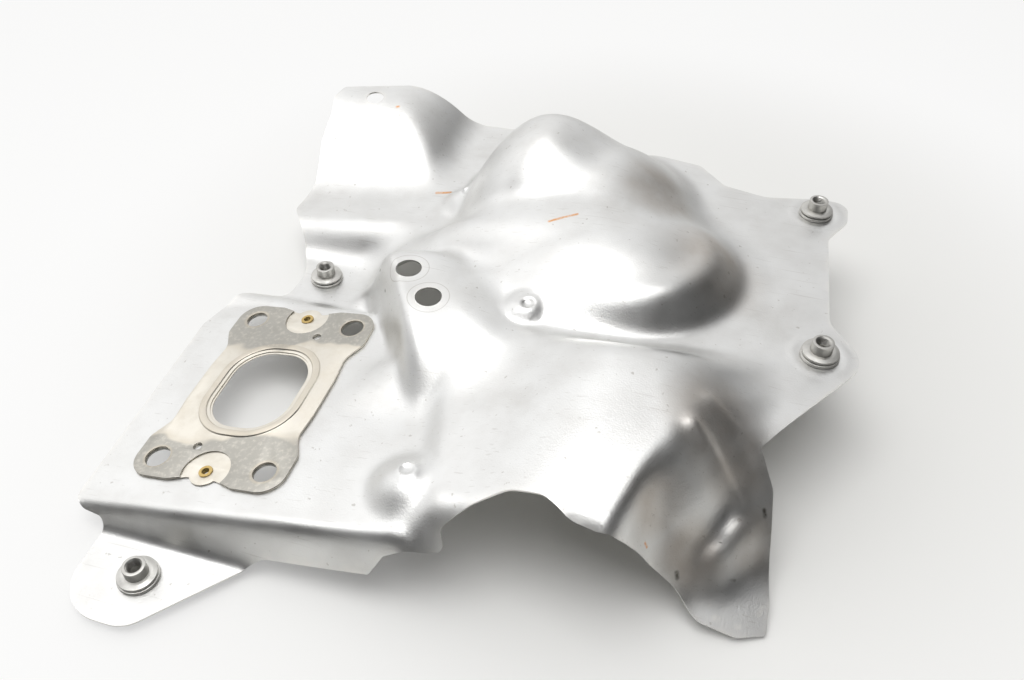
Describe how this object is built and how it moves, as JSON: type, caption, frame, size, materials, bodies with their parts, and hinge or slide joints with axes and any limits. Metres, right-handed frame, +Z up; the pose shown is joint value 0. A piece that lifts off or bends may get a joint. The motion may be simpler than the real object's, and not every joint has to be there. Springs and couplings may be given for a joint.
{
  "type": "heat shield",
  "caption": "Pressed sheet heat shield with a domed cover, a port gasket riveted to its panel, and captive threaded sleeves with washers at its corners.",
  "frame": {"origin": "on the floor, under the middle of the part's box", "axes": "+Z up from the floor, +Y along the gasket's long side towards the dome, +X along the panel's front fold towards the flap"},
  "size_m": [0.2781, 0.3164, 0.075],
  "materials": {
    "shield_sheet": "satin aluminised steel, used",
    "gasket_layers": "plain steel, heat stained",
    "eyelets": "plain brass",
    "sleeves": "zinc plated, dull",
    "washers": "zinc plated, dull"
  },
  "bodies": {
    "root": {"shield_sheet": "shield_sheet", "gasket_lower_layer": "gasket_layers", "gasket_upper_layer": "gasket_layers", "front_eyelet": "eyelets", "rear_eyelet": "eyelets", "ear_sleeve": "sleeves", "ear_cone_washer": "washers", "ear_ring_washer": "washers", "ear_under_washer": "washers", "rear_left_sleeve": "sleeves", "rear_left_cone_washer": "washers", "rear_left_ring_washer": "washers", "rear_left_under_washer": "washers", "right_front_sleeve": "sleeves", "right_front_cone_washer": "washers", "right_front_ring_washer": "washers", "right_front_under_washer": "washers", "right_rear_sleeve": "sleeves", "right_rear_cone_washer": "washers", "right_rear_ring_washer": "washers", "right_rear_under_washer": "washers"}
  },
  "joints": []
}
